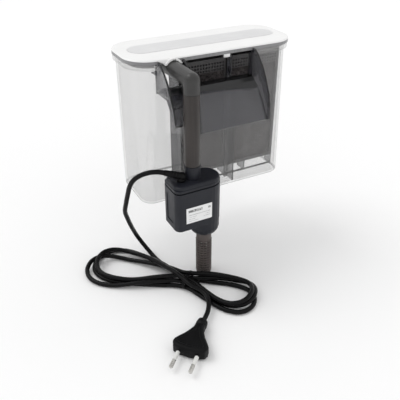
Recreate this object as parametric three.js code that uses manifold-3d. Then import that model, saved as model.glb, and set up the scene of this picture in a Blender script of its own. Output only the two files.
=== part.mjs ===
// Hang-on-back aquarium filter: a clear box that hangs outside a tank by a smoked spillway hook,
// and a submersible pump below an intake elbow on the tank side.
// Millimetres, +Z up, +Y away from the tank. The origin is where the tank's rim bears on the hook.

import * as THREE from "three";
import { mergeVertices } from "three/addons/utils/BufferGeometryUtils.js";
import Module from "manifold-3d";

const wasm = await Module();
wasm.setup();

// ---- Driving dimensions -------------------------------------------------------------------

const gap = 0.3; // between touching pieces
const wallY = 10; // outer face of the box's tank-side wall
const wallThickness = 2.2;
const boxTop = { left: -38.5, right: 142.5, depth: 72, z: 28.7, cornerRadius: 24 };
const boxBottom = { z: -125.2, lengthShare: 0.982, depthShare: 0.965, cornerRadius: 15 };
const floorThickness = 2.5;
const flange = { left: -41.5, right: 146.5, near: 8.6, far: 84, height: 5, cornerRadius: 26 };

const weir = { crestZ: 2.6, windowZ: 0.4 };
const cheekThickness = 2;
const cheeks = [-16, 10, 90]; // left face of each cheek plate
const slotFront = -10; // the tank's glass stands between this and the wall
const hookInside = 14.4; // how far the hook reaches in over the wall

const elbow = { axisY: -31, axisZ: 23.4, outer: 8, bore: 6, inletY: 25.5, seamZ: 11.4 };
const riser = { bottomZ: -62.2, outer: 7.9, bore: 6.2 };

const lid = {
  left: -42, right: 147.5, near: 8.3, far: 84.5, skirtZ: 29, topZ: 34, cornerRadius: 26.5, wall: 2.4, round: 1.6,
};
const inlay = { left: -30, right: 138, near: 33, far: 61, height: 0.5, cornerRadius: 14 };

const cartridge = { near: 26.3, depth: 18, bottomZ: -109.2, topZ: 20, wall: 1.6 };
const cartridgeSpans = { left: [11.7, 71.6], right: [73.9, 137.1] };

const pump = { left: -25.8, near: -47.5, far: -14.5, topZ: -84, bottomZ: -127.5, capTopZ: -76.7 };
const rotorAxis = new THREE.Vector2(13.3, -31);
const inletCover = { outer: 16.2, neck: 9.8, bottomZ: -146.2, chamberZ: -134.6 };
const strainer = { outer: 8.7, bore: 6.7, bottomZ: -202, slots: 13, slotPitch: 3.4, firstSlotZ: -198.6 };

const floorZ = strainer.bottomZ; // what the strainer's foot and the cord lie on
const cord = { diameter: 5, sides: 10 };
const tie = { x: -14, y: -45, angle: -52, width: 5, thickness: 1.2 };
const hank = { height: 13, waist: 26 };
const plug = { x: -56.4, y: -133.7, heading: -137, z: floorZ + 7 };
const pins = { spacing: 18.6, radius: 2, length: 19, sleeve: 10 };

// ---- Materials ----------------------------------------------------------------------------

const plastic = (color, roughness = 0.4) => new THREE.MeshStandardMaterial({ color, roughness, metalness: 0 });
const metal = (color, roughness = 0.3) => new THREE.MeshStandardMaterial({ color, roughness, metalness: 1 });
const seeThrough = (color, opacity) => {
  const material = plastic(color, 0.1);
  material.transparent = true;
  material.opacity = opacity;
  return material;
};

const clearPlastic = seeThrough(0xd9dcdf, 0.3);
const smokedPlastic = seeThrough(0x2f3136, 0.6);
const whitePlastic = plastic(0xf4f4f2, 0.25);
const greyPlastic = plastic(0xd8d9da, 0.35);
const brownPlastic = plastic(0x45403d, 0.45);
const pumpPlastic = plastic(0x2b2d33, 0.5);
const blackPlastic = plastic(0x141414, 0.45);
const blackRubber = plastic(0x101010, 0.6);
const sponge = plastic(0x2a2c2e, 0.95);
const carbon = plastic(0x1b1b1b, 0.9);
const ceramic = plastic(0xe8e4da, 0.3);
const magnet = plastic(0x2c2c30, 0.5);
const steel = metal(0x9a9a9e, 0.45);
const copper = metal(0xb8683a, 0.4);
const nickel = metal(0xc9c9c4, 0.25);

// ---- Solids: three.js geometry, joined and cut by manifold-3d ------------------------------

function toSolid(geometry) {
  const bare = new THREE.BufferGeometry();
  bare.setAttribute("position", geometry.attributes.position);
  if (geometry.index) bare.setIndex(geometry.index);
  const merged = mergeVertices(bare, 1e-4);
  const vertProperties = new Float32Array(merged.attributes.position.array);
  const corners = merged.index.array;
  const kept = [];
  for (let i = 0; i < corners.length; i += 3) {
    const [a, b, c] = corners.slice(i, i + 3);
    if (a !== b && b !== c && c !== a) kept.push(a, b, c);
  }
  const triVerts = new Uint32Array(kept);
  return new wasm.Manifold(new wasm.Mesh({ numProp: 3, vertProperties, triVerts }));
}

function toGeometry(solid) {
  const mesh = solid.getMesh();
  const geometry = new THREE.BufferGeometry();
  geometry.setAttribute("position", new THREE.BufferAttribute(new Float32Array(mesh.vertProperties), 3));
  geometry.setIndex(new THREE.BufferAttribute(new Uint32Array(mesh.triVerts), 1));
  geometry.computeVertexNormals();
  return geometry;
}

const join = (...solids) => solids.reduce((all, solid) => all.add(solid));
const cut = (solid, ...cutters) => cutters.reduce((left, cutter) => left.subtract(cutter), solid);

function block(x, y, z) {
  const geometry = new THREE.BoxGeometry(x[1] - x[0], y[1] - y[0], z[1] - z[0]);
  geometry.translate((x[0] + x[1]) / 2, (y[0] + y[1]) / 2, (z[0] + z[1]) / 2);
  return toSolid(geometry);
}

function outline(points) {
  return new THREE.Shape(points.map(([u, v]) => new THREE.Vector2(u, v)));
}

function extruded(shape, depth, options = {}) {
  return new THREE.ExtrudeGeometry(shape, { depth, bevelEnabled: false, curveSegments: 6, ...options });
}

// A plan in X and Y, from z[0] up to z[1].
function upright(shape, z, options) {
  return toSolid(extruded(shape, z[1] - z[0], options).translate(0, 0, z[0]));
}

// A side profile in Y and Z, from x[0] to x[1].
function alongX(shape, x) {
  const basis = new THREE.Matrix4().makeBasis(
    new THREE.Vector3(0, 1, 0),
    new THREE.Vector3(0, 0, 1),
    new THREE.Vector3(1, 0, 0),
  );
  return toSolid(extruded(shape, x[1] - x[0]).applyMatrix4(basis).translate(x[0], 0, 0));
}

function roundedPlan(left, right, near, far, radius) {
  const shape = new THREE.Shape();
  shape.absarc(right - radius, near + radius, radius, -Math.PI / 2, 0, false);
  shape.absarc(right - radius, far - radius, radius, 0, Math.PI / 2, false);
  shape.absarc(left + radius, far - radius, radius, Math.PI / 2, Math.PI, false);
  shape.absarc(left + radius, near + radius, radius, Math.PI, 1.5 * Math.PI, false);
  return shape;
}

// A cylinder between two points.
function rod(from, to, radius, sides = 24, endRadius = radius) {
  const start = new THREE.Vector3(...from);
  const axis = new THREE.Vector3(...to).sub(start);
  const geometry = new THREE.CylinderGeometry(endRadius, radius, axis.length(), sides);
  geometry.translate(0, axis.length() / 2, 0);
  geometry.applyQuaternion(new THREE.Quaternion().setFromUnitVectors(new THREE.Vector3(0, 1, 0), axis.normalize()));
  return toSolid(geometry.translate(start.x, start.y, start.z));
}

// A turned piece about a vertical axis through x and y. The profile is [radius, z], and it closes on itself
// unless it starts and ends on the axis.
function turned(profile, x, y, sides = 24) {
  const closed = profile[0][0] === 0 ? profile : [...profile, profile[0]];
  const points = closed.map(([r, z]) => new THREE.Vector2(r, z));
  const geometry = new THREE.LatheGeometry(points, sides);
  return toSolid(geometry.rotateX(Math.PI / 2).translate(x, y, 0));
}

function tube(points, radius, sides, steps) {
  const path = new THREE.CatmullRomCurve3(points.map((point) => new THREE.Vector3(...point)), false, "centripetal");
  const section = new THREE.Shape();
  section.absarc(0, 0, radius, 0, 2 * Math.PI, false);
  const options = { extrudePath: path, steps, curveSegments: sides / 2, bevelEnabled: false };
  return toSolid(new THREE.ExtrudeGeometry(section, options));
}

function node(name, solid, material) {
  const mesh = new THREE.Mesh(toGeometry(solid), material);
  mesh.name = name;
  return mesh;
}

// ---- The clear box --------------------------------------------------------------------------

// The box narrows a little towards its floor, and its tank-side wall stays upright.
function taperedPlan(inset, z) {
  const { left, right, depth } = boxTop;
  const planWith = (radius) => {
    const plan = roundedPlan(left + inset, right - inset, wallY + inset, wallY + depth - inset, radius - inset);
    return extruded(plan, z[1] - z[0]).translate(0, 0, z[0]);
  };
  const geometry = planWith(boxTop.cornerRadius);
  const position = geometry.attributes.position;
  const foot = planWith(boxBottom.cornerRadius).attributes.position;
  const middle = (left + right) / 2;
  const { lerp } = THREE.MathUtils;
  for (let i = 0; i < position.count; i++) {
    const rise = (position.getZ(i) - boxBottom.z) / (boxTop.z - boxBottom.z);
    const x = lerp(foot.getX(i), position.getX(i), rise);
    const y = lerp(foot.getY(i), position.getY(i), rise);
    position.setX(i, middle + (x - middle) * lerp(boxBottom.lengthShare, 1, rise));
    position.setY(i, wallY + inset + (y - wallY - inset) * lerp(boxBottom.depthShare, 1, rise));
  }
  return toSolid(geometry);
}

function reservoirBody() {
  const { left, right, near, far, height, cornerRadius } = flange;
  const rim = upright(roundedPlan(left, right, near, far, cornerRadius), [boxTop.z - height, boxTop.z]);
  const outside = join(taperedPlan(0, [boxBottom.z, boxTop.z]), rim);
  const inside = taperedPlan(wallThickness, [boxBottom.z + floorThickness, boxTop.z + 1]);
  const windowX = [cheeks[0] - gap, cheeks[2] + cheekThickness + gap];
  const window = block(windowX, [near - 1, wallY + wallThickness + 1], [weir.windowZ, boxTop.z + 1]);
  return cut(outside, inside, window);
}

// ---- The smoked spillway hook ---------------------------------------------------------------

// The cheeks' bulging front edge, from the rim down to the lip of the fall.
const cheekFront = [[4, 30.5], [-2, 26], [-10.6, 17], [-18.7, 4], [-24.4, -8], [-27.5, -20], [-28.2, -33.5]];
// The fall that the water runs down, from the crest to the lip.
const fallTop = [[4, 2.2], [0.9, -0.4], [-5.4, -6.3], [-14.3, -15.4], [-20.6, -24.6], [-26.2, -34]];
const fallThickness = 1.8;
// The underside of the intake bay's apron, from the seat to its tip.
const apronUnder = [[slotFront, 0], [-17.7, -9], [-22.4, -15], [-27.6, -21.5]];

function cheekPlate(x, lowerEdge) {
  const front = cheekFront.filter(([, z]) => z > lowerEdge[lowerEdge.length - 1][1]);
  const top = [[hookInside, boxTop.z - gap], [7.6, boxTop.z - gap], [7.6, 31]];
  return alongX(outline([...top, ...front, ...lowerEdge.toReversed()]), [x, x + cheekThickness]);
}

function spillwayHook() {
  const outsideY = wallY - gap;
  const left = cheeks[0];
  const right = cheeks[2] + cheekThickness;
  const middle = cheeks[1];
  const shelfEdge = [[hookInside, weir.windowZ + gap], [outsideY, weir.windowZ + gap], [outsideY, 0]];
  const fallUnder = fallTop.map(([y, z]) => [y + fallThickness * 0.7, z - fallThickness * 0.8]);
  const leftCheek = cheekPlate(left, [...shelfEdge, ...apronUnder]);
  const sideCheeks = [middle, cheeks[2]].map((x) => cheekPlate(x, [...shelfEdge, ...fallUnder]));
  const crest = block([left, right], [4, hookInside], [weir.windowZ + gap, weir.crestZ]);
  const crestFront = block([left, right], [4, outsideY], [0, weir.crestZ]);
  const innerLip = block([left, right], [wallY + wallThickness + gap, hookInside], [-1, weir.crestZ]);
  const seat = block([left, middle + 1], [slotFront, outsideY], [0, 2]);
  const apronTop = apronUnder.map(([y, z]) => [y - 0.6, z + 2.2]);
  const apron = alongX(outline([...apronTop, ...apronUnder.toReversed()]), [left, middle + 1]);
  const bayLip = block([left, middle + 1], [-17.8, -16], [-7, 6.5]);
  const fall = alongX(outline([...fallTop, ...fallUnder.toReversed()]), [middle + 1, cheeks[2] + 1]);
  const gusset = outline([[left + 0.5, 23], [left - 6, 23], [left - 6, 22], [left + 0.5, 17.5]]);
  const basis = new THREE.Matrix4().makeRotationX(Math.PI / 2);
  const gussetPlate = toSolid(extruded(gusset, 1.2).applyMatrix4(basis).translate(0, outsideY, 0));
  const pipeRoom = rod([0, elbow.axisY, -40], [0, elbow.axisY, 31], elbow.outer + 0.6, 36);
  const bay = join(seat, apron, bayLip, gussetPlate);
  return cut(join(leftCheek, ...sideCheeks, crest, crestFront, innerLip, bay, fall), pipeRoom);
}

// Smoked walls inside the box: they part the chamber in front of the cartridges from the one behind.
function dividerFrame() {
  const bottom = boxBottom.z + floorThickness + gap;
  const top = boxTop.z - 6.5;
  const inside = wallY + wallThickness + 0.6;
  const sideWall = block([9, 11], [hookInside + 0.4, 37], [bottom, top]);
  const sideFoot = block([9, 11], [inside, 37], [bottom, -9]);
  const finWall = block([74, 75.5], [inside, 25], [bottom, -37]);
  const strip = block([69.8, 75.5], [24, 25.6], [bottom, top]);
  const web = block([72.1, 73.4], [24, 44], [bottom, top]);
  const rail = block([10, 138.2], [28.5, 30], [bottom, bottom + 1.6]);
  const ribs = [40, 99].map((x) => block([x, x + 1.4], [28, 43], [bottom, cartridge.bottomZ - gap]));
  const guide = block([137.4, 138.4], [28, 40], [bottom, top]);
  return join(sideWall, sideFoot, finWall, strip, web, rail, ...ribs, guide);
}

// ---- Intake pipes ---------------------------------------------------------------------------

function intakeElbow() {
  const { axisY, axisZ, outer, bore, inletY, seamZ } = elbow;
  const leg = (radius, endY, endZ) => {
    const corner = new THREE.SphereGeometry(radius, 24, 12).rotateX(Math.PI / 2).translate(0, axisY, axisZ);
    const across = rod([0, axisY, axisZ], [0, endY, axisZ], radius);
    const down = rod([0, axisY, endZ], [0, axisY, axisZ], radius);
    return join(toSolid(corner), across, down);
  };
  const socket = rod([0, axisY, seamZ - 1], [0, axisY, seamZ + 8], riser.bore + 0.9 + gap);
  return cut(leg(outer, inletY, seamZ), leg(bore, inletY + 1, seamZ - 1), socket);
}

function riserPipe() {
  const { outer, bore, bottomZ } = riser;
  const top = elbow.seamZ - gap;
  const spigot = bore + 0.9;
  const profile = [
    [bore, bottomZ], [outer, bottomZ], [outer, top], [spigot, top], [spigot, top + 7.6], [bore, top + 7.6],
  ];
  return turned(profile, 0, elbow.axisY);
}

// ---- Lid ------------------------------------------------------------------------------------

function lidShell() {
  const { left, right, near, far, skirtZ, topZ, cornerRadius, wall, round } = lid;
  const plan = roundedPlan(left + round, right - round, near + round, far - round, cornerRadius - round);
  const bevel = { bevelEnabled: true, bevelThickness: round, bevelSize: round, bevelSegments: 2 };
  const dome = upright(plan, [skirtZ + round, topZ - round], bevel);
  const skirt = upright(roundedPlan(left, right, near, far, cornerRadius), [skirtZ, topZ - 2 * round + 0.4]);
  const hollowPlan = roundedPlan(left + wall, right - wall, near + wall, far - wall, cornerRadius - wall);
  const hollow = upright(hollowPlan, [skirtZ - 1, topZ - 2.2]);
  const edge = wallThickness + gap + 0.4;
  const boxFar = wallY + boxTop.depth;
  const ring = (inset, z) => {
    const { left: l, right: r, cornerRadius: corner } = boxTop;
    return upright(roundedPlan(l + inset, r - inset, wallY + inset, boxFar - inset, corner - inset), z);
  };
  const lip = cut(ring(edge, [25, topZ - 1.8]), ring(edge + 1.6, [24, topZ]));
  const hookRoom = block([cheeks[0] - 1, cheeks[2] + cheekThickness + 1], [near - 1, 17], [20, skirtZ]);
  const tab = block([57, 64], [near + 0.4, near + 2.4], [25.6, topZ - 2]);
  const archAxis = (radius, y) => rod([0, y[0], elbow.axisZ], [0, y[1], elbow.axisZ], radius, 36);
  const hood = cut(archAxis(10.5, [near - 3, near + 3]), block([-20, 20], [0, 20], [0, 28.2]));
  const pipeRoom = archAxis(elbow.outer + 0.6, [near - 4, elbow.inletY + 2]);
  const shell = join(cut(join(dome, skirt), hollow), cut(lip, hookRoom), tab, hood);
  return cut(shell, pipeRoom, upright(inlayPlan(gap), [topZ - 0.6, topZ + 1]));
}

function inlayPlan(growth) {
  const { left, right, near, far, cornerRadius } = inlay;
  return roundedPlan(left - growth, right + growth, near - growth, far + growth, cornerRadius + growth);
}

function lidInlay() {
  const bottom = lid.topZ - 0.6 + gap;
  return upright(inlayPlan(0), [bottom, bottom + inlay.height]);
}

// ---- Filter cartridges ----------------------------------------------------------------------

function cartridgeFrame([left, right]) {
  const { near, depth, bottomZ, topZ, wall } = cartridge;
  const far = near + depth;
  const outside = block([left, right], [near, far], [bottomZ, topZ]);
  const inside = block([left + wall, right - wall], [near + wall, far - wall], [bottomZ + wall, topZ + 1]);
  const bars = 3;
  const openingHeight = (topZ - bottomZ - 26) / bars;
  const openings = [];
  for (let i = 0; i < bars; i++) {
    const bottom = bottomZ + 5 + i * (openingHeight + 3);
    openings.push(block([left + 5, right - 5], [near - 1, far + 1], [bottom, bottom + openingHeight]));
  }
  const middle = (left + right) / 2;
  const handle = block([middle - 9, middle + 9], [far - wall, far], [topZ - 1, topZ + 5]);
  const fingerHole = block([middle - 6, middle + 6], [far - wall - 1, far + 1], [topZ + 0.5, topZ + 3.4]);
  return join(cut(outside, inside, ...openings), cut(handle, fingerHole));
}

function spongePad([left, right]) {
  const { near, bottomZ, topZ, wall } = cartridge;
  const inset = wall + gap + 0.1;
  return block([left + inset, right - inset], [near + inset, near + 9.4], [bottomZ + inset, topZ - 6]);
}

function carbonPack([left, right]) {
  const { near, depth, bottomZ, topZ, wall } = cartridge;
  const inset = wall + gap + 0.1;
  const radius = 2.5;
  const plan = roundedPlan(left + inset, right - inset, near + 9.8, near + depth - inset, radius);
  return upright(plan, [bottomZ + inset, topZ - 20], { curveSegments: 3 });
}

// ---- Pump -----------------------------------------------------------------------------------

// Round at the rotor's end, and square with soft corners at the cord's end.
function pumpPlan(inset) {
  const { left, near, far } = pump;
  const radius = (far - near) / 2 - inset;
  const corner = 6.5;
  const shape = new THREE.Shape();
  const middle = (near + far) / 2;
  shape.absarc(rotorAxis.x, middle, radius, -Math.PI / 2, Math.PI / 2, false);
  shape.absarc(left + inset + corner, far - inset - corner, corner, Math.PI / 2, Math.PI, false);
  shape.absarc(left + inset + corner, near + inset + corner, corner, Math.PI, 1.5 * Math.PI, false);
  return shape;
}

function pumpHousing() {
  const { topZ, bottomZ, left } = pump;
  const [x, y] = rotorAxis.toArray();
  const shell = upright(pumpPlan(0), [bottomZ, topZ]);
  const coilPocket = block([-24.4, -8], [-43.2, -18.8], [-122, topZ + 1]);
  const armSlots = [[-44.2, -39.8], [-22.2, -17.8]].map((span) => block([-24.4, x + 9], span, [-114, topZ + 1]));
  const rotorWell = rod([x, y, bottomZ - 1], [x, y, -90], 7.4);
  const passage = rod([0, y, bottomZ - 1], [0, y, topZ + 1], 3.4, 20);
  const sideRecess = block([left - 1, left + 0.6], [-38, -24], [-121, topZ - 6]);
  return cut(shell, coilPocket, ...armSlots, rotorWell, passage, sideRecess);
}

function pumpCap() {
  const { topZ, capTopZ } = pump;
  const bottom = topZ + 1 + gap;
  const round = 2;
  const bevel = { bevelEnabled: true, bevelThickness: round, bevelSize: round, bevelSegments: 2 };
  const shoulder = upright(pumpPlan(round + 0.6), [bottom + round, capTopZ - round], bevel);
  const band = upright(pumpPlan(0.2), [bottom, bottom + 2.6]);
  const spigotProfile = [
    [0, capTopZ - 1], [7.6, capTopZ - 1], [8.4, riser.bottomZ - gap], [5.9, riser.bottomZ - gap],
    [5.9, riser.bottomZ + 10], [0, riser.bottomZ + 10],
  ];
  const spigot = turned(spigotProfile, 0, elbow.axisY);
  const passage = rod([0, elbow.axisY, bottom - 1], [0, elbow.axisY, riser.bottomZ + 11], 4.4, 24);
  return cut(join(shoulder, band, spigot), passage);
}

function capGasket() {
  const z = [pump.topZ + gap, pump.topZ + 1];
  const passage = rod([0, elbow.axisY, z[0] - 1], [0, elbow.axisY, z[1] + 1], 4.4, 24);
  return cut(upright(pumpPlan(0.9), z), passage);
}

function statorCore() {
  const yoke = block([-23.8, -18.4], [-43.6, -18.4], [-113, -89]);
  const arms = [[-43.6, -40.4], [-21.6, -18.4]].map((span) => block([-23.8, rotorAxis.x + 8], span, [-113, -89]));
  return join(yoke, ...arms);
}

function statorCoil() {
  const outside = block([-17.9, -9], [-39.6, -22.4], [-119, -87]);
  const core = block([-19, -8], [-35.4, -26.6], [-108, -94]);
  return cut(outside, core);
}

function inletCoverBody() {
  const { outer, neck, bottomZ, chamberZ } = inletCover;
  const top = pump.bottomZ - gap;
  const chamber = 12.6;
  const mouth = 5.6;
  const profile = [
    [mouth, bottomZ], [neck, bottomZ], [outer - 2.8, bottomZ + 2.8], [outer - 0.7, bottomZ + 6],
    [outer, bottomZ + 9], [outer, top], [chamber, top], [chamber, chamberZ], [mouth, chamberZ],
  ];
  const cover = turned(profile, ...rotorAxis.toArray());
  const outlet = block([-3.8, 5], [-34.4, -27.6], [-132.4, top + 1]);
  const duct = block([-4.9, 4], [-36, -26], [-133.6, top]);
  const centre = rotorAxis.toArray();
  return cut(join(cover, duct), outlet, rod([...centre, chamberZ], [...centre, top + 1], chamber));
}

function strainerTube() {
  const { outer, bore, bottomZ, slots, slotPitch, firstSlotZ } = strainer;
  const [x, y] = rotorAxis.toArray();
  const top = inletCover.bottomZ - gap;
  const profile = [
    [0, bottomZ], [outer - 0.8, bottomZ], [outer, bottomZ + 0.8], [outer, top], [bore, top], [bore, bottomZ + 1.8],
    [0, bottomZ + 1.8],
  ];
  const body = turned(profile, x, y, 16);
  const cutters = [];
  for (let i = 0; i < slots; i++) {
    const z = firstSlotZ + i * slotPitch;
    cutters.push(block([x - 6.2, x + 6.2], [y - 12, y + 12], [z, z + 1.5]));
  }
  return cut(body, ...cutters);
}

function impellerWheel() {
  const [x, y] = rotorAxis.toArray();
  const hub = turned([[1.6, -133.4], [4.2, -133.4], [4.2, -128.6], [1.6, -128.6]], x, y, 12);
  const disc = turned([[1.6, -129.8], [11, -129.8], [11, -128.6], [1.6, -128.6]], x, y);
  const blades = [];
  for (let i = 0; i < 6; i++) {
    const blade = new THREE.BoxGeometry(7.4, 1, 4).translate(7, 0, -131.4);
    blade.rotateZ((i * Math.PI) / 3).translate(x, y, 0);
    blades.push(toSolid(blade));
  }
  return join(hub, disc, ...blades);
}

// A ring about the rotor's axis.
function rotorRing(inner, outer, z) {
  return turned([[inner, z[0]], [outer, z[0]], [outer, z[1]], [inner, z[1]]], ...rotorAxis.toArray(), 20);
}

// ---- Cord, hank and plug --------------------------------------------------------------------

const cordZ = floorZ + cord.diameter / 2;

// Out of the strain relief, down past the box's left end to the table, and round to the tie.
const leadRoute = [
  [-31.4, -29.6, -64], [-35.2, -28.5, -63.2], [-39.2, -27.2, -63.2], [-46, -23, -66.7], [-51.1, -17.8, -73.6],
  [-55, -12.2, -82.5], [-58, -7, -92], [-61.6, 0, -108], [-60.6, 8, -122], [-56.3, 15, -136], [-49.3, 25, -155],
  [-41.5, 35, -175], [-35, 41, -191], [-31.5, 36, cordZ + 0.6], [-30.6, 25, cordZ], [-30.4, 15, cordZ],
];
const tailRoute = [
  [-12.4, -61, cordZ], [-10, -68, cordZ], [-9.4, -78, cordZ], [-12, -89, cordZ + 1], [-18.6, -99, cordZ + 3.4],
  [-28.2, -107.4, cordZ + 4.5],
];

// The tied hank's outer shape: a long bow on one side of the tie and a short one on the other.
const hankOutline = [
  [-31, -42], [-64, -26], [-97, -11], [-109, 12], [-104, 36], [-81, 51], [-58, 51], [-41, 32], [-24, 4], [-4, -31],
  [14, -52], [33, -59], [39, -76], [34, -101], [20, -113], [4, -107], [-5, -86], [-8, -66], [-24, -57],
];

function cordHank() {
  const edge = new THREE.SplineCurve([...hankOutline, hankOutline[0]].map(([x, y]) => new THREE.Vector2(x, y)));
  const shape = new THREE.Shape(edge.getPoints(3 * hankOutline.length).slice(0, -1));
  const turn = THREE.MathUtils.degToRad(tie.angle);
  const place = (geometry) => toSolid(geometry.rotateZ(turn).translate(tie.x, tie.y, floorZ + hank.height / 2));
  const waist = place(new THREE.BoxGeometry(tie.width + 2 * gap, 90, 60));
  const core = place(new THREE.BoxGeometry(tie.width + 4, hank.waist, hank.height - 3));
  const body = upright(shape, [floorZ, floorZ + hank.height]);
  const cordRoom = cord.diameter / 2 + gap;
  const leadRoom = rod([-31.2, 40, cordZ], [-30.4, 15 - gap, cordZ], cordRoom, 16);
  const tailRoom = rod([-12.6, -60.8, cordZ], [-10, -68, cordZ], cordRoom, 16);
  return cut(join(cut(body, waist), core), leadRoom, tailRoom);
}

function cableTie() {
  const turn = THREE.MathUtils.degToRad(tie.angle);
  const place = (geometry) => toSolid(geometry.rotateZ(turn).translate(tie.x, tie.y, floorZ + hank.height / 2));
  const innerWidth = hank.waist + 2 * gap;
  const innerHeight = hank.height - 3 + 2 * gap;
  const outside = new THREE.BoxGeometry(tie.width, innerWidth + 2 * tie.thickness, innerHeight + 2 * tie.thickness);
  const inside = new THREE.BoxGeometry(tie.width + 2, innerWidth, innerHeight);
  return cut(place(outside), place(inside));
}

function cableGland() {
  const end = [-30.4, -29.7, -64.4];
  const start = [-11.4, -32.6, -72.2];
  const boot = rod(start, end, 3.6, 20, 3);
  const foot = rod([-13.4, -32.5, pump.capTopZ + gap], [-13.4, -32.5, -72.4], 3.8, 20);
  return join(boot, foot);
}

// Pieces of the plug lie in a group of their own: +X is where its pins point.
function plugBody() {
  const shape = new THREE.Shape();
  shape.moveTo(-30, -5.5);
  shape.lineTo(-12, -11);
  shape.lineTo(-4, -17.6);
  shape.lineTo(2, -17.6);
  shape.quadraticCurveTo(6.5, -9, 6.5, 0);
  shape.quadraticCurveTo(6.5, 9, 2, 17.6);
  shape.lineTo(-4, 17.6);
  shape.lineTo(-12, 11);
  shape.lineTo(-30, 5.5);
  const round = 1.6;
  const bevel = { bevelEnabled: true, bevelThickness: round, bevelSize: round, bevelOffset: -round, bevelSegments: 2 };
  return upright(shape, [-6.6 + round, 6.6 - round], { ...bevel, curveSegments: 4 });
}

function plugNeck() {
  return rod([-30.3, 0, 0], [-38, 0, 0], 6, 20, 5.2);
}

const pinRoot = 7.2;

function plugPin() {
  const tip = pinRoot + pins.length;
  const shank = rod([pinRoot + pins.sleeve + gap, 0, 0], [tip - 1, 0, 0], pins.radius, 20);
  return join(shank, rod([tip - 1, 0, 0], [tip, 0, 0], pins.radius, 20, pins.radius - 0.9));
}

function pinSleeve() {
  return rod([pinRoot, 0, 0], [pinRoot + pins.sleeve, 0, 0], pins.radius, 20);
}

// ---- Assembly -------------------------------------------------------------------------------

const object = new THREE.Group();

object.add(
  node("reservoir_body", reservoirBody(), clearPlastic),
  node("spillway_hook", spillwayHook(), smokedPlastic),
  node("divider_frame", dividerFrame(), smokedPlastic),
  node("intake_elbow", intakeElbow(), brownPlastic),
  node("riser_pipe", riserPipe(), brownPlastic),
);

const lidGroup = new THREE.Group();
lidGroup.add(node("lid_shell", lidShell(), whitePlastic), node("lid_inlay", lidInlay(), greyPlastic));
object.add(lidGroup);

const cartridgeGroup = new THREE.Group();
for (const [side, span] of Object.entries(cartridgeSpans)) {
  cartridgeGroup.add(
    node(`cartridge_frame_${side}`, cartridgeFrame(span), smokedPlastic),
    node(`sponge_pad_${side}`, spongePad(span), sponge),
    node(`carbon_pack_${side}`, carbonPack(span), carbon),
  );
}
object.add(cartridgeGroup);

const pumpGroup = new THREE.Group();
pumpGroup.add(
  node("pump_housing", pumpHousing(), pumpPlastic),
  node("pump_cap", pumpCap(), pumpPlastic),
  node("cap_gasket", capGasket(), blackRubber),
  node("stator_core", statorCore(), steel),
  node("stator_coil", statorCoil(), copper),
  node("inlet_cover", inletCoverBody(), pumpPlastic),
  node("strainer", strainerTube(), brownPlastic),
  node("label_plate", block([-15.6, 13.5], [pump.near - gap - 0.3, pump.near - gap], [-119, -101]), whitePlastic),
  node("cable_gland", cableGland(), blackRubber),
  node("cord_lead", tube(leadRoute, cord.diameter / 2, cord.sides, 22), blackRubber),
  node("cord_hank", cordHank(), blackRubber),
  node("cable_tie", cableTie(), blackPlastic),
  node("cord_tail", tube(tailRoute, cord.diameter / 2, cord.sides, 8), blackRubber),
);

const rotorGroup = new THREE.Group();
rotorGroup.add(
  node("rotor_magnet", rotorRing(1.6, 6, [-119, -93]), magnet),
  node("rotor_shaft", rod([...rotorAxis.toArray(), -134], [...rotorAxis.toArray(), -90.6], 1.3, 16), ceramic),
  node("impeller", impellerWheel(), whitePlastic),
);
pumpGroup.add(rotorGroup);

const plugGroup = new THREE.Group();
plugGroup.position.set(plug.x, plug.y, plug.z);
plugGroup.rotation.z = THREE.MathUtils.degToRad(plug.heading);
plugGroup.add(node("plug_body", plugBody(), blackPlastic), node("plug_neck", plugNeck(), blackRubber));
for (const [side, sign] of Object.entries({ left: -1, right: 1 })) {
  const pin = node(`plug_pin_${side}`, plugPin(), nickel);
  const sleeve = node(`pin_sleeve_${side}`, pinSleeve(), whitePlastic);
  for (const piece of [pin, sleeve]) piece.position.y = (sign * pins.spacing) / 2;
  plugGroup.add(pin, sleeve);
}
pumpGroup.add(plugGroup);
object.add(pumpGroup);

export default object;
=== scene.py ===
import bpy
import bmesh
import math
from mathutils import Matrix, Vector


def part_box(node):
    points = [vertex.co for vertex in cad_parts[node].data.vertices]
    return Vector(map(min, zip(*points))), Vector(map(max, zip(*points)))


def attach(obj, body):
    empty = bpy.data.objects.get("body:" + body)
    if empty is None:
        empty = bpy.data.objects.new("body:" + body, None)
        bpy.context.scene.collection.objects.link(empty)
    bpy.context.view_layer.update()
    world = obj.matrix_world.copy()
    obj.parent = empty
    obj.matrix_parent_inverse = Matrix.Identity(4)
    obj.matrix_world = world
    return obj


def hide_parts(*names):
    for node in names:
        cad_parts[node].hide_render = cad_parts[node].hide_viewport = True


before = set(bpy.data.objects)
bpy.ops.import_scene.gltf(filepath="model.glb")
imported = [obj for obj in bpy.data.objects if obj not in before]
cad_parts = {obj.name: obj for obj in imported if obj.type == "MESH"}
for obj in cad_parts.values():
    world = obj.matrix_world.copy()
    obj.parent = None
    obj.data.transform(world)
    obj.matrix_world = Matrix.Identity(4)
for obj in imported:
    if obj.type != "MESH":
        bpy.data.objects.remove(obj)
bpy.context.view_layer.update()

mm = 0.001
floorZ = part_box("strainer")[0].z  # the strainer's foot stands on the table


cameraLook = {
    "place": (-0.2094, -0.4418, 0.185),
    "tilt": 57.93,
    "turn": -27.96,
    "lens": 47.42,
    "sensor": 36.0,
}


def makeCamera(look):
    data = bpy.data.cameras.new("camera")
    data.lens = look["lens"]
    data.sensor_width = look["sensor"]
    data.clip_end = 50
    camera = bpy.data.objects.new("camera", data)
    camera.location = look["place"]
    camera.rotation_euler = (math.radians(look["tilt"]), 0, math.radians(look["turn"]))
    bpy.context.scene.collection.objects.link(camera)
    bpy.context.scene.camera = camera


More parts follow.
